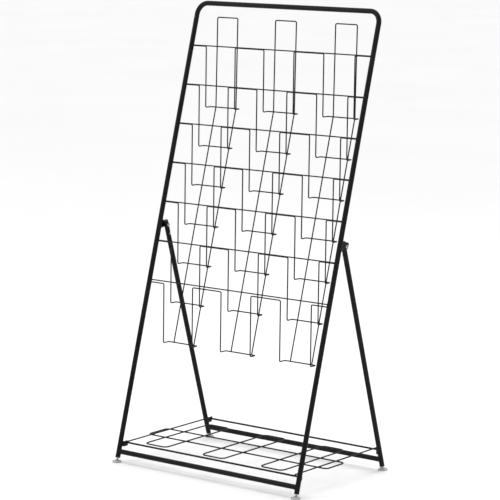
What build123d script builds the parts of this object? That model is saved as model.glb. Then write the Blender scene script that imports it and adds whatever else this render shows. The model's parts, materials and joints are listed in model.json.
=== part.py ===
from build123d import *
from math import cos, radians, sin, tan
import os

# Folding A-frame brochure rack: a leaning front frame with 3 columns by 7 rows of
# wire pockets, a rear frame hinged half-way up it, and a wire shelf between the feet.
# Millimetres, +Z up, brochures face -Y. The origin is on the floor, in the middle
# of the four feet.

os.makedirs("parts", exist_ok=True)

# ---------------------------------------------------------------- driving sizes
POST_SPACING = 730.0           # front post to front post, centre to centre
FOOT_SPREAD = 456.0            # front feet to rear feet, centre to centre
LEAN = 16.0                    # both frames lean this many degrees from upright

TUBE_R = 8.0
TUBE_BORE_R = 6.8
TOP_BAR_ALONG = 1512.0         # distances "along" run up a leaning tube from the floor
TOP_CORNER_R = 38.0
TUBE_END_ALONG = 15.0
FRONT_CROSSBAR_ALONG = 35.0
REAR_CROSSBAR_ALONG = 37.0

WIRE_R = 2.0                   # all the wires of the pockets
BEND_R = 5.0
N_ROWS = 7
ROW_PITCH = 129.0
TOP_RUNG_ALONG = 1372.0
COLUMN_PITCH = 239.0
POCKET_WIDTH = 121.0
POCKET_DROP = 197.5
POCKET_LEAN = 1.2              # the pocket fronts hang nearly upright
POCKET_DEPTH = 25.5
WELD_ANGLE = 35.0              # how far below straight in front of its rung a wire is welded
LAST_ROW_SAG = 8.0             # the bottom row's wire runs this far below its rung
LAST_ROW_DROP = 193.0
BACK_WIDTH = 84.0
BACK_OVERHANG = 2.0            # back wires run this far past the first and last floors
BACK_TOP_Z = 1410.0
BACK_LEAN = 2.0

PIVOT_ALONG = 783.0
LEG_TOP_STUB = 13.0            # leg tube above its pivot
PLATE_T = 3.0
PLATE_OUT = 3.1                # inner face of a pivot plate, outward of the post centre
PLATE_END_R = 8.5
PLATE_CORNER_R = 4.0
PLATE_BELOW = 13.0
PLATE_ABOVE = 13.5
BARREL_R = 3.0                 # barrel of the pivot nut, on which the leg turns
BARREL_SHORT = 0.2             # the barrel ends this far inside the plate's outer face
BARREL_BORE_DEPTH = 14.0
BARREL_HOLE_R = 3.2            # in the plate and the washers
SCREW_R = 2.0
SCREW_LENGTH = 12.0
BUSH_BORE_R = 3.05
BUSH_R = 4.0
WASHER_R = 6.5
WASHER_T = 0.5
WASHER_GAP = 0.6               # room for a washer and its end play
HEAD_R = 5.5                   # low round heads of the pivot bolt and of its nut
HEAD_H = 2.4
HEAD_EDGE_R = 1.6
RIVET_DROP = 31.0              # rivet below the pivot, along the leg
RIVET_R = 2.4
RIVET_HEAD_R = 3.6
RIVET_HEAD_H = 1.2
RIVET_EDGE_R = 0.8

SHELF_Z = 61.4                 # centre line of the shelf's front rod
SHELF_DEPTH = 415.0            # between the rods, along the shelf
SHELF_TILT = 0.65              # the shelf rises this much towards the back
FRONT_ROD_BEHIND_POST = 12.6
ROD_R = 3.0
SHELF_WIRE_R = 2.25
SIDE_WIRE_X = 341.0
SIDE_WIRE_OVERHANG = 3.0
CROSS_RING_X = 366.0
CROSS_RING_WIDTH = 93.0
CROSS_RING_FROM_ROD = 170.0    # ring centre behind the front rod
CROSS_RING_CORNER = 15.0
COLUMN_RING_PITCH = 236.0
COLUMN_RING_WIDTH = 88.0
COLUMN_RING_LENGTH = 319.0
COLUMN_RING_FROM_ROD = 170.0
COLUMN_RING_CORNER = 16.0

HOOK_T = 3.0
HOOK_SINK = 1.2                # hooks bite this far into the tube they are welded to
HOOK_ABOVE = 4.0
HOOK_BELOW = 13.0
HOOK_HALF_DEPTH = 11.0
HOOK_CORNER_R = 3.0
ROD_PLAY = 0.1                 # round the front rod, which turns in its hooks
REST_PLAY = 0.25               # round the rear rod, which drops into its hooks
ROD_END_GAP = 1.0
UPRIGHT_SLOT = 90.0            # the front hooks' slots open straight up
HOOK_RAMP = 45.0               # slope of the rear hooks' way out, from level

INSERT_LENGTH = 28.0
INSERT_FLANGE_T = 2.0
STUD_R = 3.0
STUD_BORE_R = 3.05
STUD_LENGTH = 36.0
PAD_R = 15.0
PAD_T = 4.5
PAD_EDGE_R = 1.2
PAD_HUB_R = 6.0
PAD_HUB_TOP = 8.0
PAD_HUB_TAPER = 12.0
CAP_SPIGOT = 52.0
CAP_T = 2.5
CAP_EDGE_R = 2.0

# ---------------------------------------------------------------- places
HALF_SPAN = POST_SPACING / 2
HALF_DEPTH = FOOT_SPREAD / 2
FRONT_LEFT = -HALF_SPAN
FRONT_RIGHT = HALF_SPAN

# X runs along the rungs, local Y runs up the posts, local Z points out of the front.
up_the_front = Vector(0, sin(radians(LEAN)), cos(radians(LEAN)))
front = Plane(origin=(0, -HALF_DEPTH, 0), x_dir=(1, 0, 0),
              z_dir=Vector(1, 0, 0).cross(up_the_front))

# The rear frame leans the other way: local Y runs up its legs.
up_the_rear = Vector(0, -sin(radians(LEAN)), cos(radians(LEAN)))
rear = Plane(origin=(0, HALF_DEPTH, 0), x_dir=(1, 0, 0),
             z_dir=Vector(1, 0, 0).cross(up_the_rear))


def on_front(x, along, behind=0.0):
    """A point given by its place on the front frame and how far behind it lies."""
    return front.from_local_coords(Vector(x, along, -behind))


def on_rear(x, along, behind=0.0):
    return rear.from_local_coords(Vector(x, along, -behind))


# The pivots lie on the rear legs' centre lines, square behind PIVOT_ALONG on the posts.
leg_gap = FOOT_SPREAD - 2 * PIVOT_ALONG * sin(radians(LEAN))
PIVOT_BEHIND = leg_gap * cos(radians(LEAN)) / cos(radians(2 * LEAN))
pivot = on_front(0, PIVOT_ALONG, PIVOT_BEHIND)
PIVOT_ON_LEG = rear.to_local_coords(pivot).Y
LEG_END = PIVOT_ON_LEG + LEG_TOP_STUB
LEG_X = HALF_SPAN + PLATE_OUT - WASHER_GAP - TUBE_R

shelf_front_y = -HALF_DEPTH + SHELF_Z * tan(radians(LEAN)) + FRONT_ROD_BEHIND_POST
shelf_rear_y = shelf_front_y + SHELF_DEPTH * cos(radians(SHELF_TILT))
shelf_rear_z = SHELF_Z + SHELF_DEPTH * sin(radians(SHELF_TILT))
side_wire_z = SHELF_Z + ROD_R + SHELF_WIRE_R
cross_ring_z = side_wire_z - 2 * SHELF_WIRE_R


# ---------------------------------------------------------------- helpers
def save(part, label):
    part.label = label
    export_step(part, f"parts/{label}.step")


def bent_wire(points, bend, radius, closed=False):
    """A round wire along straight runs joined by tangent bends."""
    with BuildPart() as wire:
        with BuildLine() as route:
            FilletPolyline(*points, radius=bend, close=closed)
        with BuildSketch(route.line ^ 0):
            Circle(radius)
        sweep(path=route.line)
    return wire.part


def straight_rod(start, end, radius, bore=0.0):
    """A round rod, or a tube where a bore is given, between two points."""
    run = Vector(*end) - Vector(*start)
    with BuildPart() as rod:
        with BuildSketch(Plane(origin=start, z_dir=run)):
            Circle(radius)
            if bore:
                Circle(bore, mode=Mode.SUBTRACT)
        extrude(amount=run.length)
    return rod.part


def coped(part, *tubes):
    """Cut the ends of a piece to sit against the round tubes it is welded to."""
    with BuildPart() as piece:
        add(part)
        for tube in tubes:
            add(tube, mode=Mode.SUBTRACT)
    return piece.part


# Solid envelopes of the tubes, used only to cope what is welded to them.
front_post_left = straight_rod(on_front(FRONT_LEFT, 0), on_front(FRONT_LEFT, TOP_BAR_ALONG), TUBE_R)
front_post_right = straight_rod(on_front(FRONT_RIGHT, 0), on_front(FRONT_RIGHT, TOP_BAR_ALONG), TUBE_R)
rear_leg_envelope_left = straight_rod(on_rear(-LEG_X, 0), on_rear(-LEG_X, LEG_END), TUBE_R)
rear_leg_envelope_right = straight_rod(on_rear(LEG_X, 0), on_rear(LEG_X, LEG_END), TUBE_R)


# ---------------------------------------------------------------- front frame tubes
with BuildPart() as front_hoop:
    with BuildLine() as hoop_route:
        FilletPolyline(
            on_front(FRONT_LEFT, TUBE_END_ALONG),
            on_front(FRONT_LEFT, TOP_BAR_ALONG),
            on_front(FRONT_RIGHT, TOP_BAR_ALONG),
            on_front(FRONT_RIGHT, TUBE_END_ALONG),
            radius=TOP_CORNER_R,
        )
    with BuildSketch(hoop_route.line ^ 0):
        Circle(TUBE_R)
        Circle(TUBE_BORE_R, mode=Mode.SUBTRACT)
    sweep(path=hoop_route.line)
save(front_hoop.part, "front_hoop")

front_crossbar = straight_rod(
    on_front(FRONT_LEFT, FRONT_CROSSBAR_ALONG), on_front(FRONT_RIGHT, FRONT_CROSSBAR_ALONG), TUBE_R, TUBE_BORE_R
)
save(coped(front_crossbar, front_post_left, front_post_right), "front_crossbar")


# ---------------------------------------------------------------- rungs and pocket wires
def rung_along(row):
    return TOP_RUNG_ALONG - (row - 1) * ROW_PITCH


# The pocket wire is welded to the front of its rung, a little below it; the last row's
# hangs clear of its rung, with a shorter drop and a deeper floor.
WELD_BELOW = 2 * WIRE_R * sin(radians(WELD_ANGLE))
WELD_IN_FRONT = 2 * WIRE_R * cos(radians(WELD_ANGLE))
lean_forward = tan(radians(POCKET_LEAN))

first_top = on_front(0, rung_along(1) - WELD_BELOW, -WELD_IN_FRONT)
first_floor_back = Vector(0, first_top.Y - POCKET_DROP * lean_forward + POCKET_DEPTH,
                          first_top.Z - POCKET_DROP)
FLOOR_BEHIND = -front.to_local_coords(first_floor_back).Z


def pocket_points(row):
    """Top, front bottom and back bottom of a pocket wire, in the plane X = 0."""
    last = row == N_ROWS
    below = LAST_ROW_SAG if last else WELD_BELOW
    drop = LAST_ROW_DROP if last else POCKET_DROP
    top = on_front(0, rung_along(row) - below, -WELD_IN_FRONT)
    low = Vector(0, top.Y - drop * lean_forward, top.Z - drop)
    reach = FLOOR_BEHIND + front.to_local_coords(low).Z
    back = Vector(0, low.Y + reach / cos(radians(LEAN)), low.Z)
    return top, low, back


for row in range(1, N_ROWS + 1):
    rung = straight_rod(on_front(FRONT_LEFT, rung_along(row)), on_front(FRONT_RIGHT, rung_along(row)), WIRE_R)
    save(coped(rung, front_post_left, front_post_right), f"rung_{row}")

    top, low, back = pocket_points(row)
    route = [top + Vector(FRONT_LEFT, 0, 0)]
    for column in (-1, 0, 1):
        left = column * COLUMN_PITCH - POCKET_WIDTH / 2
        right = column * COLUMN_PITCH + POCKET_WIDTH / 2
        for point, x in ((top, left), (low, left), (back, left), (back, right), (low, right), (top, right)):
            route.append(point + Vector(x, 0, 0))
    route.append(top + Vector(FRONT_RIGHT, 0, 0))
    pocket_wire = bent_wire(route, BEND_R, WIRE_R)
    save(coped(pocket_wire, front_post_left, front_post_right), f"pocket_wire_{row}")


# ---------------------------------------------------------------- back wires
# Each column's back wire runs up behind the pocket floors, welded to them, then stands
# nearly upright as the back of the top pocket and returns over a square top.
BACK_BEHIND = FLOOR_BEHIND + 2 * WIRE_R
last_floor = pocket_points(N_ROWS)[2]
first_floor = pocket_points(1)[2]
back_start = front.to_local_coords(last_floor).Y - BACK_OVERHANG
back_knee = front.to_local_coords(first_floor).Y + BACK_OVERHANG
knee = on_front(0, back_knee, BACK_BEHIND)
head = Vector(0, knee.Y + (BACK_TOP_Z - knee.Z) * tan(radians(BACK_LEAN)), BACK_TOP_Z)

for column, side in ((-1, "left"), (0, "centre"), (1, "right")):
    left = Vector(column * COLUMN_PITCH - BACK_WIDTH / 2, 0, 0)
    right = Vector(column * COLUMN_PITCH + BACK_WIDTH / 2, 0, 0)
    start = on_front(0, back_start, BACK_BEHIND)
    back_wire = bent_wire(
        [start + left, knee + left, head + left, head + right, knee + right, start + right],
        BEND_R, WIRE_R,
    )
    save(back_wire, f"back_wire_{side}")


# ---------------------------------------------------------------- pivots
def x_disc(x_from, x_to, radius, bore, where):
    """A round piece on an axis along X, through the point `where`."""
    return straight_rod((x_from, where.Y, where.Z), (x_to, where.Y, where.Z), radius, bore)


# The plate's outline, seen along X. Its local x runs from the post's centre line towards the
# leg; its local y runs up the post on one side and down it on the other.
def pivot_bracket(side):
    inner = side * (HALF_SPAN + PLATE_OUT)
    tip = PIVOT_BEHIND + PLATE_END_R
    plate_plane = Plane(origin=on_front(inner, PIVOT_ALONG), x_dir=front.z_dir * -1, z_dir=(side, 0, 0))
    up = 1 if plate_plane.y_dir.Z > 0 else -1
    corner_start = (tip - PLATE_CORNER_R, up * PLATE_ABOVE)
    corner_end = (tip, up * (PLATE_ABOVE - PLATE_CORNER_R))
    with BuildPart() as bracket:
        with BuildSketch(plate_plane):
            with BuildLine():
                Polyline(
                    (PIVOT_BEHIND, -up * PLATE_END_R),
                    (0, -up * (PLATE_END_R + PLATE_BELOW)),
                    (0, up * PLATE_ABOVE),
                    corner_start,
                )
                RadiusArc(corner_start, corner_end, up * PLATE_CORNER_R)
                Line(corner_end, (tip, 0))
                RadiusArc((tip, 0), (PIVOT_BEHIND, -up * PLATE_END_R), up * PLATE_END_R)
            make_face()
            with Locations((PIVOT_BEHIND, 0)):
                Circle(BARREL_HOLE_R, mode=Mode.SUBTRACT)
        extrude(amount=PLATE_T)
        add(front_post_left if side < 0 else front_post_right, mode=Mode.SUBTRACT)
    return bracket.part


washers = []
for side, name in ((-1, "left"), (1, "right")):
    save(pivot_bracket(side), f"pivot_bracket_{name}")

    plate_inner = side * (HALF_SPAN + PLATE_OUT)
    plate_outer = side * (HALF_SPAN + PLATE_OUT + PLATE_T)
    leg_outer = side * (LEG_X + TUBE_R)
    leg_inner = side * (LEG_X - TUBE_R)
    nut_face = leg_inner - side * WASHER_GAP
    barrel_end = plate_outer - side * BARREL_SHORT
    outermost = -1 if side > 0 else 0
    innermost = 0 if side > 0 else -1

    with BuildPart() as pivot_bolt:
        add(x_disc(plate_outer - side * SCREW_LENGTH, plate_outer, SCREW_R, 0, pivot))
        add(x_disc(plate_outer, plate_outer + side * HEAD_H, HEAD_R, 0, pivot))
        fillet(pivot_bolt.faces().sort_by(Axis.X)[outermost].edges(), radius=HEAD_EDGE_R)
    save(pivot_bolt.part, f"pivot_bolt_{name}")

    with BuildPart() as pivot_nut:
        add(x_disc(nut_face, barrel_end, BARREL_R, 0, pivot))
        add(x_disc(nut_face - side * HEAD_H, nut_face, HEAD_R, 0, pivot))
        fillet(pivot_nut.faces().sort_by(Axis.X)[innermost].edges(), radius=HEAD_EDGE_R)
        add(x_disc(barrel_end - side * BARREL_BORE_DEPTH, barrel_end, SCREW_R, 0, pivot), mode=Mode.SUBTRACT)
    save(pivot_nut.part, f"pivot_nut_{name}")

    washers.append(x_disc(plate_inner - side * WASHER_T, plate_inner, WASHER_R, BARREL_HOLE_R, pivot))
    washers.append(x_disc(nut_face, nut_face + side * WASHER_T, WASHER_R, BARREL_HOLE_R, pivot))

    pivot_bush = x_disc(leg_inner, leg_outer, BUSH_R, BUSH_BORE_R, pivot)
    save(pivot_bush, f"pivot_bush_{name}")

save(Compound(children=washers), "pivot_washers")


# ---------------------------------------------------------------- rear frame
rivet_place = on_rear(0, PIVOT_ON_LEG - RIVET_DROP)
rivets = []

for side, name in ((-1, "left"), (1, "right")):
    leg_x = side * LEG_X
    leg_inner = side * (LEG_X - TUBE_R)
    leg_outer = side * (LEG_X + TUBE_R)
    bush_hole = x_disc(leg_inner, leg_outer, BUSH_R, 0, pivot)
    rivet_hole = x_disc(leg_x, leg_inner, RIVET_R, 0, rivet_place)

    leg = straight_rod(on_rear(leg_x, TUBE_END_ALONG), on_rear(leg_x, LEG_END), TUBE_R, TUBE_BORE_R)
    save(coped(leg, bush_hole, rivet_hole), f"rear_leg_{name}")

    with BuildPart() as leg_cap:
        add(straight_rod(on_rear(leg_x, LEG_END - CAP_SPIGOT), on_rear(leg_x, LEG_END), TUBE_BORE_R))
        add(straight_rod(on_rear(leg_x, LEG_END), on_rear(leg_x, LEG_END + CAP_T), TUBE_R))
        fillet(leg_cap.edges().filter_by(GeomType.CIRCLE).sort_by(Axis.Z)[-1], radius=CAP_EDGE_R)
        add(bush_hole, mode=Mode.SUBTRACT)
        add(rivet_hole, mode=Mode.SUBTRACT)
    save(leg_cap.part, f"leg_cap_{name}")

    with BuildPart() as rivet:
        add(rivet_hole)
        add(x_disc(leg_inner, leg_inner - side * RIVET_HEAD_H, RIVET_HEAD_R, 0, rivet_place))
        rim = rivet.faces().sort_by(Axis.X)[0 if side > 0 else -1]
        fillet(rim.edges(), radius=RIVET_EDGE_R)
    rivets.append(rivet.part)

save(Compound(children=rivets), "leg_rivets")

rear_crossbar = straight_rod(
    on_rear(-LEG_X, REAR_CROSSBAR_ALONG), on_rear(LEG_X, REAR_CROSSBAR_ALONG), TUBE_R, TUBE_BORE_R
)
save(coped(rear_crossbar, rear_leg_envelope_left, rear_leg_envelope_right), "rear_crossbar")


# ---------------------------------------------------------------- shelf hooks
def hook_plate(face_x, outward, rod_y, rod_z, slot_r, ramp):
    """A plate across X with a slot, open at the top, that the end of a rod lies in."""
    top = rod_z + HOOK_ABOVE
    with BuildPart() as hook:
        with BuildSketch(Plane.YZ.offset(face_x - outward * HOOK_T)):
            with Locations((rod_y, rod_z + (HOOK_ABOVE - HOOK_BELOW) / 2)):
                RectangleRounded(2 * HOOK_HALF_DEPTH, HOOK_ABOVE + HOOK_BELOW, HOOK_CORNER_R)
            with Locations((rod_y, rod_z)):
                Circle(slot_r, mode=Mode.SUBTRACT)
            with BuildLine():
                right_top = rod_y + slot_r
                slope_start = (rod_y + slot_r * sin(radians(ramp)), rod_z - slot_r * cos(radians(ramp)))
                if ramp < UPRIGHT_SLOT:
                    right_top = slope_start[0] + (top - slope_start[1]) / tan(radians(ramp))
                Polyline(
                    (rod_y, rod_z),
                    slope_start,
                    (right_top, top),
                    (rod_y - slot_r, top),
                    (rod_y - slot_r, rod_z),
                    (rod_y, rod_z),
                )
            make_face(mode=Mode.SUBTRACT)
        extrude(amount=outward * (HOOK_T + HOOK_SINK))
    return hook.part


for side, name in ((-1, "left"), (1, "right")):
    post = front_post_left if side < 0 else front_post_right
    face_x = side * (HALF_SPAN - TUBE_R)
    hook = hook_plate(face_x, side, shelf_front_y, SHELF_Z, ROD_R + ROD_PLAY, UPRIGHT_SLOT)
    save(coped(hook, post), f"front_shelf_hook_{name}")

    leg = rear_leg_envelope_left if side < 0 else rear_leg_envelope_right
    face_x = side * (LEG_X - TUBE_R)
    hook = hook_plate(face_x, side, shelf_rear_y, shelf_rear_z, ROD_R + REST_PLAY, HOOK_RAMP)
    save(coped(hook, leg), f"rear_shelf_hook_{name}")


# ---------------------------------------------------------------- shelf
# Every piece of the shelf is made level and then tilted about the front rod's centre line.
front_rod_axis = Axis((0, shelf_front_y, SHELF_Z), (1, 0, 0))


def tilted(piece):
    return piece.rotate(front_rod_axis, SHELF_TILT)


def shelf_rod(half_length, y):
    return straight_rod((-half_length, y, SHELF_Z), (half_length, y, SHELF_Z), ROD_R)


save(shelf_rod(HALF_SPAN - TUBE_R - ROD_END_GAP, shelf_front_y), "shelf_front_rod")
save(tilted(shelf_rod(LEG_X - TUBE_R - ROD_END_GAP, shelf_front_y + SHELF_DEPTH)), "shelf_rear_rod")

for side, name in ((-1, "left"), (1, "right")):
    x = side * SIDE_WIRE_X
    side_wire = straight_rod(
        (x, shelf_front_y - SIDE_WIRE_OVERHANG, side_wire_z),
        (x, shelf_front_y + SHELF_DEPTH + SIDE_WIRE_OVERHANG, side_wire_z),
        SHELF_WIRE_R,
    )
    save(tilted(side_wire), f"shelf_side_wire_{name}")


def wire_ring(x, y, z, half_width, half_length, corner):
    """A closed rectangular ring of wire, lying level, with rounded corners."""
    middle = (x, y - half_length, z)
    with BuildPart() as ring:
        with BuildLine() as route:
            FilletPolyline(
                (x - half_width, y - half_length, z),
                (x + half_width, y - half_length, z),
                (x + half_width, y + half_length, z),
                (x - half_width, y + half_length, z),
                radius=corner,
                close=True,
            )
        with BuildSketch(Plane(origin=middle, z_dir=(1, 0, 0))):
            Circle(SHELF_WIRE_R)
        sweep(path=route.line)
    return ring.part


cross_ring = wire_ring(
    0, shelf_front_y + CROSS_RING_FROM_ROD, cross_ring_z, CROSS_RING_X, CROSS_RING_WIDTH / 2, CROSS_RING_CORNER
)
save(tilted(cross_ring), "shelf_cross_ring")

for column, name in ((-1, "left"), (0, "centre"), (1, "right")):
    column_ring = wire_ring(
        column * COLUMN_RING_PITCH, shelf_front_y + COLUMN_RING_FROM_ROD, side_wire_z,
        COLUMN_RING_WIDTH / 2, COLUMN_RING_LENGTH / 2, COLUMN_RING_CORNER,
    )
    save(tilted(column_ring), f"shelf_column_ring_{name}")


# ---------------------------------------------------------------- adjustable feet
feet = (
    ("front_left", on_front, FRONT_LEFT),
    ("front_right", on_front, FRONT_RIGHT),
    ("rear_left", on_rear, -LEG_X),
    ("rear_right", on_rear, LEG_X),
)

for name, place, x in feet:
    frame_name, side_name = name.split("_")
    flange_low = TUBE_END_ALONG - INSERT_FLANGE_T
    stud_low = PAD_T / cos(radians(LEAN))

    with BuildPart() as foot_insert:
        add(straight_rod(place(x, flange_low), place(x, TUBE_END_ALONG), TUBE_R))
        add(straight_rod(place(x, TUBE_END_ALONG), place(x, flange_low + INSERT_LENGTH), TUBE_BORE_R))
        add(straight_rod(place(x, flange_low), place(x, flange_low + INSERT_LENGTH), STUD_BORE_R),
            mode=Mode.SUBTRACT)
    save(foot_insert.part, f"{frame_name}_foot_insert_{side_name}")

    stud = straight_rod(place(x, stud_low), place(x, stud_low + STUD_LENGTH), STUD_R)
    with BuildPart() as pad:
        with BuildSketch(Plane(origin=(x, place(x, 0).Y, 0))):
            Circle(PAD_R)
        extrude(amount=PAD_T)
        fillet(pad.edges().filter_by(GeomType.CIRCLE), radius=PAD_EDGE_R)
        with BuildSketch(Plane(origin=(x, place(x, PAD_T).Y, PAD_T))):
            Circle(PAD_HUB_R)
        extrude(amount=PAD_HUB_TOP - PAD_T, taper=PAD_HUB_TAPER)
        add(stud, mode=Mode.SUBTRACT)
    save(stud, f"foot_stud_{name}")
    save(pad.part, f"foot_pad_{name}")
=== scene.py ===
import json
import random
from math import cos, pi, radians, sin, sqrt, tan

import bmesh
import bpy
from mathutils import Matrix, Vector


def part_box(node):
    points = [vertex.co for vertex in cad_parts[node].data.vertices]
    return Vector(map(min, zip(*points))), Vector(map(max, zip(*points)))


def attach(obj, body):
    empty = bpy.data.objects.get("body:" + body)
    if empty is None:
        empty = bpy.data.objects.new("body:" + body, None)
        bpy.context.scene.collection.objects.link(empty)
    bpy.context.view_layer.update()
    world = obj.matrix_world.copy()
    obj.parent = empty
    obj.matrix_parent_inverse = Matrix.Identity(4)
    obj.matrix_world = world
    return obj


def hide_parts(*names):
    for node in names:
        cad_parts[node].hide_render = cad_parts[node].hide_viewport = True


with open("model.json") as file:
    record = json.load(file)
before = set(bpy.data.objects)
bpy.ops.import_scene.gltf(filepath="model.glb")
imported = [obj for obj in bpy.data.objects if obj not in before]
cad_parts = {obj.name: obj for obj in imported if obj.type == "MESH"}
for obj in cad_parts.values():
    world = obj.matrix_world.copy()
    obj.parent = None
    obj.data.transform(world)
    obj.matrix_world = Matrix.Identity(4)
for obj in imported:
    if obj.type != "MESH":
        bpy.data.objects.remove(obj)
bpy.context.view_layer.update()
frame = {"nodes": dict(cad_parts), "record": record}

# The looks of a folding brochure rack: powder coat, zinc and plastic on the CAD pieces, and the
# small things the CAD leaves out: weld beads, threads, hexagons and broken plate edges.
# Metres, as in the frame. The brochures face -Y.

MM = 0.001
random.seed(11)

# Welds and small parts the CAD leaves out.
WIRE_BEAD_R = 0.7 * MM         # where a wire meets a tube
TUBE_BEAD_R = 1.1 * MM         # where a crossbar meets a tube
PLATE_BEAD_R = 0.9 * MM        # down the pivot plates
HOOK_BEAD_R = 0.8 * MM
RUNG_SPOT = (7 * MM, 1.25 * MM)        # length and radius of the spot welds, rung to pocket wire
BACK_SPOT = (4.4 * MM, 1.35 * MM)      # pocket wire to back wire
SHELF_WIRE_SPOT = (4.6 * MM, 1.4 * MM)
SHELF_ROD_SPOT = (5 * MM, 1.5 * MM)
PIVOT_PLATE_T = 3 * MM
FRONT_HOOK_SEAMS = (1.3 * MM, 4.4 * MM)        # distances behind the tube's centre line
REAR_HOOK_SEAMS = (-3.4 * MM, 4.4 * MM)
WELD_SMOOTH_DEG = 60.0
PAD_SMOOTH_DEG = 28.0
PLATE_EDGE_R = 0.35 * MM

# ---------------------------------------------------------------- camera
CAMERA_AT = Vector((4.816, -5.923, 1.930))
CAMERA_LOOKS_AT = Vector((0.0384, -0.0456, 0.7088))
LENS_MM = 176.7


def look_at(obj, place, target):
    obj.location = place
    obj.rotation_euler = (target - place).to_track_quat("-Z", "Y").to_euler()


camera_data = bpy.data.cameras.new("camera")
camera_data.lens = LENS_MM
camera_data.sensor_width = 36.0
camera_data.clip_start = 0.05
camera_data.clip_end = 100.0
camera = bpy.data.objects.new("camera", camera_data)
bpy.context.collection.objects.link(camera)
look_at(camera, CAMERA_AT, CAMERA_LOOKS_AT)
bpy.context.scene.camera = camera


# ---------------------------------------------------------------- materials
class Nodes:
    """A few helpers round one material's node tree."""

    def __init__(self, name):
        self.material = bpy.data.materials.new(name)
        self.material.use_nodes = True
        self.tree = self.material.node_tree
        self.shader = self.tree.nodes["Principled BSDF"]
        self.place = self.add("ShaderNodeTexCoord").outputs["Object"]

    def add(self, kind, **values):
        node = self.tree.nodes.new(kind)
        for key, value in values.items():
            setattr(node, key, value)
        return node

    def link(self, source, target):
        self.tree.links.new(source, target)

    def noise(self, scale, detail=2.0, roughness=0.5):
        node = self.add("ShaderNodeTexNoise")
        node.inputs["Scale"].default_value = scale
        node.inputs["Detail"].default_value = detail
        node.inputs["Roughness"].default_value = roughness
        self.link(self.place, node.inputs["Vector"])
        return node.outputs["Fac"]

    def cells(self, scale):
        node = self.add("ShaderNodeTexVoronoi")
        node.inputs["Scale"].default_value = scale
        self.link(self.place, node.inputs["Vector"])
        return node.outputs["Distance"]

    def ramp(self, source, *stops):
        node = self.add("ShaderNodeValToRGB")
        ramp = node.color_ramp
        while len(ramp.elements) < len(stops):
            ramp.elements.new(0.5)
        for element, (position, colour) in zip(ramp.elements, stops):
            element.position = position
            element.color = (*colour, 1.0)
        self.link(source, node.inputs["Fac"])
        return node.outputs["Color"]

    def grey_ramp(self, source, *stops):
        return self.ramp(source, *[(position, (v, v, v)) for position, v in stops])

    def bump(self, source, strength, distance, normal=None):
        node = self.add("ShaderNodeBump")
        node.inputs["Strength"].default_value = strength
        node.inputs["Distance"].default_value = distance
        self.link(source, node.inputs["Height"])
        if normal is not None:
            self.link(normal, node.inputs["Normal"])
        return node.outputs["Normal"]

    def colour(self, source):
        self.link(source, self.shader.inputs["Base Color"])

    def roughness(self, source):
        self.link(source, self.shader.inputs["Roughness"])

    def normal(self, source):
        self.link(source, self.shader.inputs["Normal"])


def powder_coat():
    """Fine-textured black powder coat: a slight orange peel, faint dust, a soft gloss."""
    n = Nodes("black_powder_coat")
    dust = n.noise(14.0, 4.0, 0.6)
    n.colour(n.ramp(dust, (0.35, (0.0024, 0.0024, 0.0028)), (0.72, (0.0084, 0.0084, 0.0088))))
    n.roughness(n.grey_ramp(n.noise(240.0, 3.0), (0.30, 0.32), (0.72, 0.46)))
    peel = n.bump(n.noise(1300.0, 2.0), 0.45, 0.00016)
    n.normal(n.bump(n.noise(260.0, 1.0), 0.16, 0.00030, peel))
    n.shader.inputs["Specular IOR Level"].default_value = 0.14
    return n.material


def zinc():
    """Bright zinc plate with a faint crystalline mottling."""
    n = Nodes("zinc_plate")
    n.colour(n.ramp(n.noise(420.0, 4.0), (0.30, (0.36, 0.36, 0.35)), (0.70, (0.52, 0.52, 0.50))))
    n.roughness(n.grey_ramp(n.cells(900.0), (0.0, 0.24), (0.8, 0.40)))
    n.normal(n.bump(n.noise(1800.0, 3.0), 0.15, 0.00006))
    n.shader.inputs["Metallic"].default_value = 1.0
    return n.material


def plastic(name, dark, light, rough):
    """Moulded plastic: spark-eroded grain and faint handling marks."""
    n = Nodes(name)
    n.colour(n.ramp(n.noise(60.0, 4.0), (0.35, dark), (0.65, light)))
    n.roughness(n.grey_ramp(n.noise(500.0, 3.0), (0.30, rough - 0.07), (0.70, rough + 0.09)))
    n.normal(n.bump(n.noise(2200.0, 2.0), 0.25, 0.00008))
    return n.material


MATERIALS = {
    "black_paint": powder_coat(),
    "zinc_plate": zinc(),
    "black_plastic": plastic("black_nylon", (0.010, 0.010, 0.011), (0.017, 0.017, 0.018), 0.42),
    "grey_plastic": plastic("grey_plastic", (0.40, 0.41, 0.42), (0.48, 0.49, 0.50), 0.46),
}


def paint(obj, slot):
    """Give a piece, or a CAD node, the look of one of the record's material slots."""
    if not obj.data.materials:
        obj.data.materials.append(None)
    for index in range(len(obj.data.materials)):
        obj.data.materials[index] = MATERIALS[slot]


SLOT_OF = {part["node"]: part["material_slot"] for part in frame["record"]["subparts"]}
for node, slot in SLOT_OF.items():
    paint(frame["nodes"][node], slot)

BODY_OF = {node: body for body, nodes in frame["record"]["behaviour"]["bodies"].items() for node in nodes}


# ---------------------------------------------------------------- places, all from the CAD pieces' boxes
LEAN = radians(16.0)
POCKET_LEAN = radians(1.2)
UP_FRONT = Vector((0, sin(LEAN), cos(LEAN)))       # up along a front post
UP_REAR = Vector((0, -sin(LEAN), cos(LEAN)))       # up along a rear leg
BEHIND = Vector((0, cos(LEAN), -sin(LEAN)))        # square to the front frame, backwards
SIDEWAYS = Vector((1, 0, 0))
N_ROWS = 7
COLUMNS = ("left", "centre", "right")
SIDES = ("left", "right")


def middle(node):
    low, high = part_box(node)
    return (low + high) / 2


TUBE_R = (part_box("front_crossbar")[1].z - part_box("front_crossbar")[0].z) / 2
WIRE_R = (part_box("rung_1")[1].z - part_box("rung_1")[0].z) / 2


def axis_through_foot(pad, up):
    """The centre line of a post or leg, from the pad it stands on."""
    foot = middle(pad)
    foot.z = 0.0
    return foot, up


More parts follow.
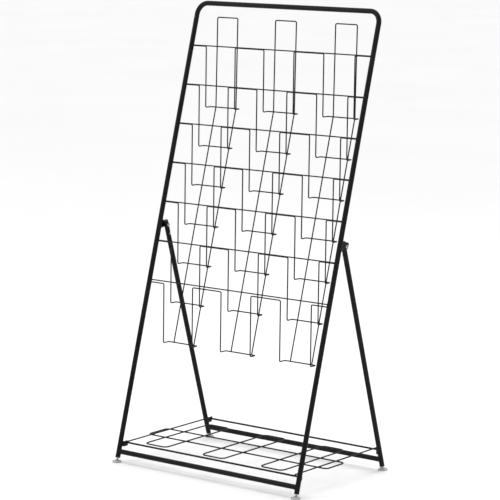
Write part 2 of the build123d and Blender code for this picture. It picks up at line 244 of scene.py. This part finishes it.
def on_axis_at_z(axis, z):
    foot, up = axis
    return foot + up * (z / up.z)


POSTS = {side: axis_through_foot(f"foot_pad_front_{side}", UP_FRONT) for side in SIDES}
LEGS = {side: axis_through_foot(f"foot_pad_rear_{side}", UP_REAR) for side in SIDES}


# ---------------------------------------------------------------- mesh helpers
def finish_mesh(bm, name, body, slot, replaces=(), smooth_angle=35.0):
    """Turn a bmesh into a piece that rides on a body."""
    bmesh.ops.recalc_face_normals(bm, faces=bm.faces)
    mesh = bpy.data.meshes.new(name)
    bm.to_mesh(mesh)
    bm.free()
    mesh.shade_smooth()
    mesh.set_sharp_from_angle(angle=radians(smooth_angle))
    obj = bpy.data.objects.new(name, mesh)
    bpy.context.collection.objects.link(obj)
    paint(obj, slot)
    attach(obj, body)
    if replaces:
        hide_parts(*replaces)


def square_to(direction):
    helper = Vector((0, 0, 1)) if abs(direction.z) < 0.9 else Vector((1, 0, 0))
    first = direction.cross(helper).normalized()
    return first, direction.cross(first).normalized()


def ring_of_points(centre, first, second, radius, count):
    """Points of a circle, from two directions square to its axis."""
    return [centre + (first * cos(2 * pi * k / count) + second * sin(2 * pi * k / count)) * radius
            for k in range(count)]


def skin(bm, rings, closed_path=False):
    """Join rings of points, all the same length, into a tube."""
    verts = [[bm.verts.new(point) for point in ring] for ring in rings]
    count = len(verts[0])
    pairs = list(zip(verts, verts[1:]))
    if closed_path:
        pairs.append((verts[-1], verts[0]))
    for ring_a, ring_b in pairs:
        for i in range(count):
            j = (i + 1) % count
            bm.faces.new((ring_a[i], ring_a[j], ring_b[j], ring_b[i]))
    if not closed_path:
        bm.faces.new(verts[0])
        bm.faces.new(list(reversed(verts[-1])))


BEAD_SIDES = 8
BEAD_RIPPLE = 0.10
SPOT_SIDES = 10


def bead(bm, points, radius, closed=False):
    """A weld bead along a path: a rounded ridge, rippled, and drawn out at its ends."""
    count = len(points)
    rings = []
    for i, point in enumerate(points):
        before = points[i - 1] if i or closed else point
        after = points[(i + 1) % count] if i < count - 1 or closed else point
        first, second = square_to((after - before).normalized())
        share = i / (count - 1)
        taper = 1.0 if closed else max(0.18, sqrt(max(0.0, 1 - (2 * share - 1) ** 6)))
        size = radius * taper * (1 + BEAD_RIPPLE * (random.random() - 0.5) * 2)
        rings.append(ring_of_points(point, first, second, size, BEAD_SIDES))
    skin(bm, rings, closed_path=closed)


def straight(start, end, steps):
    return [start.lerp(end, i / steps) for i in range(steps + 1)]


def spot(bm, centre, direction, length, radius):
    """A small weld between two touching wires: a rounded lump along one of them."""
    profile = (0.30, 0.78, 1.0, 0.78, 0.30)
    first, second = square_to(direction)
    rings = []
    for i, share in enumerate(profile):
        point = centre + direction * length * (i / (len(profile) - 1) - 0.5)
        size = radius * share * (1 + 0.12 * (random.random() - 0.5))
        rings.append(ring_of_points(point, first, second, size, SPOT_SIDES))
    skin(bm, rings)


def collar(bm, tube, end, wire_r, up, across, bead_r):
    """The bead round the end of a wire or bar where it meets a round tube square on.
    tube is a point of the tube's centre line level with the wire, end the wire's own centre there."""
    inward = 1.0 if tube.x < 0 else -1.0
    ring_r = wire_r + 0.3 * MM
    offset = (end - tube).dot(across)
    steps = 40 if wire_r > 4 * MM else 18
    points = []
    for i in range(steps):
        turn = 2 * pi * i / steps
        side_step = offset + ring_r * sin(turn)
        reach = sqrt(max((TUBE_R + 0.2 * MM) ** 2 - side_step ** 2, 0.0))
        point = end + up * (ring_r * cos(turn)) + across * (ring_r * sin(turn))
        point.x = tube.x + inward * reach
        points.append(point)
    bead(bm, points, bead_r, closed=True)


# ---------------------------------------------------------------- welds of the front frame
def top_run(row):
    """Centre (X = 0) of a pocket wire's top run, and the centre of its floor's back run."""
    low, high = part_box(f"pocket_wire_{row}")
    front_y = low.y + WIRE_R
    top_z, floor_z = high.z - WIRE_R, low.z + WIRE_R
    top = Vector((0, front_y + (top_z - floor_z) * tan(POCKET_LEAN), top_z))
    return top, Vector((0, high.y - WIRE_R, floor_z))


def at_x(point, x):
    return Vector((x, point.y, point.z))


column_x = [middle(f"back_wire_{name}").x for name in COLUMNS]
back_half = (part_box("back_wire_centre")[1].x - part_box("back_wire_centre")[0].x) / 2 - WIRE_R
LOOP_HALF = 60.5 * MM          # from a column's middle to a pocket's top corners
NEAR_BEND = 15 * MM            # spot welds sit this far beyond those corners

front = bmesh.new()
for row in range(1, N_ROWS + 1):
    rung = middle(f"rung_{row}")
    top, floor_back = top_run(row)
    for side in SIDES:
        post_here = on_axis_at_z(POSTS[side], rung.z)
        collar(front, post_here, at_x(rung, post_here.x), WIRE_R, UP_FRONT, BEHIND, WIRE_BEAD_R)
        post_here = on_axis_at_z(POSTS[side], top.z)
        collar(front, post_here, at_x(top, post_here.x), WIRE_R, UP_FRONT, BEHIND, WIRE_BEAD_R)
    for x in column_x:
        if row < N_ROWS:
            between = (rung + top) / 2
            for place in (x - LOOP_HALF - NEAR_BEND, x + LOOP_HALF + NEAR_BEND):
                spot(front, at_x(between, place), SIDEWAYS, *RUNG_SPOT)
        contact = floor_back + BEHIND * WIRE_R
        for place in (x - back_half, x + back_half):
            spot(front, at_x(contact, place), SIDEWAYS, *BACK_SPOT)

crossbar = middle("front_crossbar")
for side in SIDES:
    post_here = on_axis_at_z(POSTS[side], crossbar.z)
    collar(front, post_here, at_x(crossbar, post_here.x), TUBE_R, UP_FRONT, BEHIND, TUBE_BEAD_R)

    # Seams down both faces of the pivot plate.
    low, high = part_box(f"pivot_bracket_{side}")
    faces = (high.x, high.x - PIVOT_PLATE_T) if side == "right" else (low.x, low.x + PIVOT_PLATE_T)
    for face_x in faces:
        reach = sqrt(TUBE_R ** 2 - (face_x - POSTS[side][0].x) ** 2)
        start = on_axis_at_z(POSTS[side], low.z + 6 * MM)
        end = on_axis_at_z(POSTS[side], high.z - 2 * MM)
        seam = [at_x(p + BEHIND * (reach + 0.2 * MM), face_x) for p in straight(start, end, 26)]
        bead(front, seam, PLATE_BEAD_R)


def hook_seams(bm, node, axis, across, offsets):
    """Upright beads where a hook plate stands on the inner side of its tube, at given distances
    behind the tube's centre line."""
    low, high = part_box(node)
    outward = 1.0 if axis[0].x > 0 else -1.0
    for offset in offsets:
        reach = sqrt((TUBE_R + 0.3 * MM) ** 2 - offset ** 2)
        start = on_axis_at_z(axis, low.z + 1.5 * MM)
        end = on_axis_at_z(axis, high.z - 1.5 * MM)
        seam_x = axis[0].x - outward * reach
        bead(bm, [at_x(p + across * offset, seam_x) for p in straight(start, end, 14)], HOOK_BEAD_R)


for side in SIDES:
    hook_seams(front, f"front_shelf_hook_{side}", POSTS[side], BEHIND, FRONT_HOOK_SEAMS)
finish_mesh(front, "front_frame_welds", "front_frame", "black_paint", smooth_angle=WELD_SMOOTH_DEG)

# ---------------------------------------------------------------- welds of the rear frame
rear = bmesh.new()
BEHIND_REAR = Vector((0, cos(LEAN), sin(LEAN)))
crossbar = middle("rear_crossbar")
for side in SIDES:
    leg_here = on_axis_at_z(LEGS[side], crossbar.z)
    collar(rear, leg_here, at_x(crossbar, leg_here.x), TUBE_R, UP_REAR, BEHIND_REAR, TUBE_BEAD_R)
    hook_seams(rear, f"rear_shelf_hook_{side}", LEGS[side], BEHIND_REAR, REAR_HOOK_SEAMS)
finish_mesh(rear, "rear_frame_welds", "rear_frame", "black_paint", smooth_angle=WELD_SMOOTH_DEG)

# ---------------------------------------------------------------- welds of the shelf
# The shelf rises slightly towards the back. Its upper wires lie on the plane over the two rods,
# and the cross ring hangs under that plane.
shelf = bmesh.new()
front_rod, rear_rod = middle("shelf_front_rod"), middle("shelf_rear_rod")
rod_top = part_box("shelf_front_rod")[1].z
shelf_slope = (rear_rod.z - front_rod.z) / (rear_rod.y - front_rod.y)


def on_shelf(x, y):
    return Vector((x, y, rod_top + shelf_slope * (y - front_rod.y)))


side_low, side_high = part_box("shelf_side_wire_left")
shelf_wire_r = (side_high.x - side_low.x) / 2
ring_low, ring_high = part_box("shelf_cross_ring")
ring_runs = (ring_low.y + shelf_wire_r, ring_high.y - shelf_wire_r)
for side in SIDES:
    wire = middle(f"shelf_side_wire_{side}")
    for y in ring_runs:
        spot(shelf, on_shelf(wire.x, y), SIDEWAYS, *SHELF_WIRE_SPOT)
    for rod in (front_rod, rear_rod):
        spot(shelf, on_shelf(wire.x, rod.y), SIDEWAYS, *SHELF_ROD_SPOT)
for name in COLUMNS:
    low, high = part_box(f"shelf_column_ring_{name}")
    for x in (low.x + shelf_wire_r, high.x - shelf_wire_r):
        for y in ring_runs:
            spot(shelf, on_shelf(x, y), SIDEWAYS, *SHELF_WIRE_SPOT)
finish_mesh(shelf, "shelf_welds", "shelf", "black_paint", smooth_angle=WELD_SMOOTH_DEG)


# ---------------------------------------------------------------- threads, feet and bolts
def circle_ring(origin, up, radius, height, sides):
    return ring_of_points(origin + up * height, *square_to(up), radius, sides)


def lathe(bm, origin, up, profile, sides):
    """A turned shape: profile is (radius, height) from one end to the other."""
    skin(bm, [circle_ring(origin, up, radius, height, sides) for radius, height in profile])


ROD_SIDES = 32
ROD_RINGS_PER_TURN = 8


def threaded_rod(bm, start, up, length, radius, pitch, depth):
    """A rod with a real helical thread, chamfered at both ends."""
    first, second = square_to(up)
    count = int(length / pitch * ROD_RINGS_PER_TURN)
    rings = []
    for i in range(count + 1):
        height = length * i / count
        from_end = min(height, length - height)
        most = radius - max(0.0, pitch * 0.8 - from_end)
        ring = []
        for k in range(ROD_SIDES):
            turn = 2 * pi * k / ROD_SIDES
            phase = (height / pitch - k / ROD_SIDES) % 1.0
            crest = abs(2 * phase - 1)
            here = min(most, radius - depth * min(1.0, max(0.0, crest * 1.25 - 0.12)))
            ring.append(start + up * height + (first * cos(turn) + second * sin(turn)) * here)
        rings.append(ring)
    skin(bm, rings)


def hexagon_ring(origin, up, flats, height, sides):
    """Points round a hexagon, one for each of `sides` directions, so it can be joined to a circle."""
    first, second = square_to(up)
    ring = []
    for k in range(sides):
        turn = 2 * pi * k / sides
        fold = (turn % (pi / 3)) - pi / 6
        radius = flats / 2 / cos(fold)
        ring.append(origin + up * height + (first * cos(turn) + second * sin(turn)) * radius)
    return ring


STUD_R = 3.0 * MM
STUD_LENGTH = 36.0 * MM
STUD_PITCH = 1.0 * MM
STUD_THREAD = 0.55 * MM        # depth
PAD_SIDES = 96
# The pad's turned profile: share of its radius, and height in millimetres.
PAD_PROFILE = (
    (0.30, 0.4), (0.86, 0.4), (0.90, 0.0), (0.955, 0.0), (0.985, 0.35), (1.0, 1.0), (1.0, 3.0),
    (0.985, 3.8), (0.95, 4.3), (0.90, 4.5), (0.80, 4.5), (0.77, 4.15), (0.52, 4.15), (0.49, 4.5),
)
# Its hexagonal boss for a spanner: width over the flats and height.
BOSS_PROFILE = ((10.6 * MM, 4.7 * MM), (10.6 * MM, 7.2 * MM), (9.9 * MM, 7.9 * MM))
BOSS_HOLE_R = 3.6 * MM
BOSS_TOP = 7.9 * MM
UP = Vector((0, 0, 1))
for place, up in (("front", UP_FRONT), ("rear", UP_REAR)):
    for side in SIDES:
        foot = f"{place}_{side}"
        pad_low, pad_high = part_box(f"foot_pad_{foot}")
        stud_low, stud_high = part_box(f"foot_stud_{foot}")
        stud_mid = (stud_low + stud_high) / 2
        body = f"foot_{foot}"

        stud = bmesh.new()
        stud_foot = stud_mid - up * (STUD_LENGTH / 2)
        threaded_rod(stud, stud_foot, up, STUD_LENGTH, STUD_R, STUD_PITCH, STUD_THREAD)
        finish_mesh(stud, f"foot_thread_{foot}", body, "zinc_plate", replaces=(f"foot_stud_{foot}",))

        # The pad: a turned disc with a soft rim, a groove round the top and a hexagonal boss.
        centre = Vector(((pad_low.x + pad_high.x) / 2, (pad_low.y + pad_high.y) / 2, 0))
        rim = min(pad_high.x - pad_low.x, pad_high.y - pad_low.y) / 2
        pad = bmesh.new()
        rings = [circle_ring(centre, UP, share * rim, height * MM, PAD_SIDES)
                 for share, height in PAD_PROFILE]
        rings += [hexagon_ring(centre, UP, flats, height, PAD_SIDES) for flats, height in BOSS_PROFILE]
        rings.append(circle_ring(centre, UP, BOSS_HOLE_R, BOSS_TOP, PAD_SIDES))
        skin(pad, rings)
        finish_mesh(pad, f"foot_disc_{foot}", body, "grey_plastic", replaces=(f"foot_pad_{foot}",),
                    smooth_angle=PAD_SMOOTH_DEG)

# The pivots: a low round head with a hexagon socket on each side, the screw outside and the
# barrel nut inside.
SOCKET_FLATS = 4.0 * MM
SOCKET_POINT_R = 0.6 * MM      # the drilled point at the bottom of the socket
SCREW_R = 2.0 * MM
SCREW_PITCH = 0.7 * MM
SCREW_THREAD = 0.35 * MM       # depth
BARREL_R = 3.0 * MM
BARREL_SIDES = 48
HEAD_SIDES = 64
# The head's turned profile, down to the socket's rim: shares of its radius and of its height.
HEAD_PROFILE = (
    (0.45, 0.0), (0.97, 0.0), (1.0, 0.08), (1.0, 0.30), (0.985, 0.46), (0.94, 0.64), (0.87, 0.79),
    (0.76, 0.91), (0.62, 0.98), (0.48, 1.0), (0.42, 1.0),
)


def low_head(bm, seat, direction, radius, height):
    """A low round head with a hexagon socket, standing on its seat."""
    rings = [circle_ring(seat, direction, r * radius, h * height, HEAD_SIDES) for r, h in HEAD_PROFILE]
    for share in (0.97, 0.28):
        rings.append(hexagon_ring(seat, direction, SOCKET_FLATS, height * share, HEAD_SIDES))
    rings.append(circle_ring(seat, direction, SOCKET_POINT_R, height * 0.16, HEAD_SIDES))
    skin(bm, rings)


for side in SIDES:
    outward = SIDEWAYS if side == "right" else -SIDEWAYS
    bolt_low, bolt_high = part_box(f"pivot_bolt_{side}")
    nut_low, nut_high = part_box(f"pivot_nut_{side}")
    plate_low, plate_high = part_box(f"pivot_bracket_{side}")
    centre = middle(f"pivot_bolt_{side}")
    head_r = (bolt_high.z - bolt_low.z) / 2
    bolt_ends = (bolt_low.x, bolt_high.x) if side == "right" else (bolt_high.x, bolt_low.x)
    nut_ends = (nut_low.x, nut_high.x) if side == "right" else (nut_high.x, nut_low.x)
    plate_face = plate_high.x if side == "right" else plate_low.x
    head_h = abs(bolt_ends[1] - plate_face)

    bolt = bmesh.new()
    low_head(bolt, at_x(centre, plate_face), outward, head_r, head_h)
    shank = abs(plate_face - bolt_ends[0])
    threaded_rod(bolt, at_x(centre, bolt_ends[0]), outward, shank, SCREW_R, SCREW_PITCH, SCREW_THREAD)
    finish_mesh(bolt, f"pivot_screw_{side}", "front_frame", "zinc_plate", replaces=(f"pivot_bolt_{side}",))

    nut = bmesh.new()
    nut_seat = at_x(centre, nut_ends[0]) + outward * head_h
    low_head(nut, nut_seat, -outward, head_r, head_h)
    lathe(nut, nut_seat, outward, ((BARREL_R, 0.0), (BARREL_R, abs(nut_ends[1] - nut_seat.x))), BARREL_SIDES)
    finish_mesh(nut, f"pivot_barrel_nut_{side}", "front_frame", "zinc_plate", replaces=(f"pivot_nut_{side}",))


# ---------------------------------------------------------------- plates with broken edges
def broken_edges(node, name):
    """A copy of a CAD plate whose sharp edges are slightly rounded, as coated steel's are."""
    source = frame["nodes"][node]
    bm = bmesh.new()
    bm.from_mesh(source.data)
    bmesh.ops.remove_doubles(bm, verts=bm.verts, dist=0.000002)
    bmesh.ops.dissolve_limit(bm, angle_limit=radians(1.0), verts=bm.verts, edges=bm.edges)
    mesh = bpy.data.meshes.new(name)
    bm.to_mesh(mesh)
    bm.free()
    if "custom_normal" in mesh.attributes:
        mesh.attributes.remove(mesh.attributes["custom_normal"])
    mesh.shade_smooth()
    obj = bpy.data.objects.new(name, mesh)
    bpy.context.collection.objects.link(obj)
    bevel = obj.modifiers.new("edges", "BEVEL")
    bevel.width = PLATE_EDGE_R
    bevel.segments = 3
    bevel.limit_method = "ANGLE"
    bevel.angle_limit = radians(32.0)
    bevel.harden_normals = True
    bevel.use_clamp_overlap = True
    paint(obj, SLOT_OF[node])
    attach(obj, BODY_OF[node])
    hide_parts(node)


for side in SIDES:
    broken_edges(f"pivot_bracket_{side}", f"pivot_plate_{side}")
    broken_edges(f"front_shelf_hook_{side}", f"front_hook_plate_{side}")
    broken_edges(f"rear_shelf_hook_{side}", f"rear_hook_plate_{side}")


# ---------------------------------------------------------------- studio
def floor_material():
    n = Nodes("studio_floor")
    n.colour(n.ramp(n.noise(0.8, 2.0), (0.3, (0.91, 0.91, 0.91)), (0.7, (0.93, 0.93, 0.93))))
    n.roughness(n.grey_ramp(n.noise(3.0, 2.0), (0.3, 0.62), (0.7, 0.72)))
    return n.material


FLOOR_DROP = 0.4 * MM
FLOOR_RADIUS = 40.0
WORLD_STRENGTH = 0.62
OVERHEAD_STRENGTH = 1.45
OVERHEAD_SPREAD_DEG = 50.0

bpy.ops.mesh.primitive_circle_add(
    vertices=96, radius=FLOOR_RADIUS, fill_type="NGON", location=(0, 0, -FLOOR_DROP)
)
floor = bpy.context.object
floor.name = "studio_floor"
floor.data.materials.append(floor_material())

world = bpy.context.scene.world or bpy.data.worlds.new("world")
bpy.context.scene.world = world
world.use_nodes = True
background = world.node_tree.nodes["Background"]
background.inputs["Color"].default_value = (1.0, 1.0, 1.0, 1.0)
background.inputs["Strength"].default_value = WORLD_STRENGTH
bpy.context.scene.view_settings.view_transform = "Standard"


def softbox(name, place, size, watts, target=Vector((0, 0, 0.7))):
    data = bpy.data.lights.new(name, "AREA")
    data.shape = "RECTANGLE"
    data.size, data.size_y = size
    data.energy = watts
    light = bpy.data.objects.new(name, data)
    bpy.context.collection.objects.link(light)
    look_at(light, Vector(place), target)


softbox("key", (-2.6, -3.2, 3.2), (1.2, 1.2), 40.0)
softbox("fill", (3.4, -2.2, 2.4), (1.6, 1.6), 15.0)
softbox("back", (0.5, 3.4, 3.0), (2.4, 1.4), 30.0)

# A wide overhead bank, far away, that lights the whole floor evenly.
overhead_data = bpy.data.lights.new("overhead", "SUN")
overhead_data.energy = OVERHEAD_STRENGTH
overhead_data.angle = radians(OVERHEAD_SPREAD_DEG)
overhead = bpy.data.objects.new("overhead", overhead_data)
bpy.context.collection.objects.link(overhead)
look_at(overhead, Vector((-0.8, 0.7, 4.0)), Vector((0, 0, 0)))
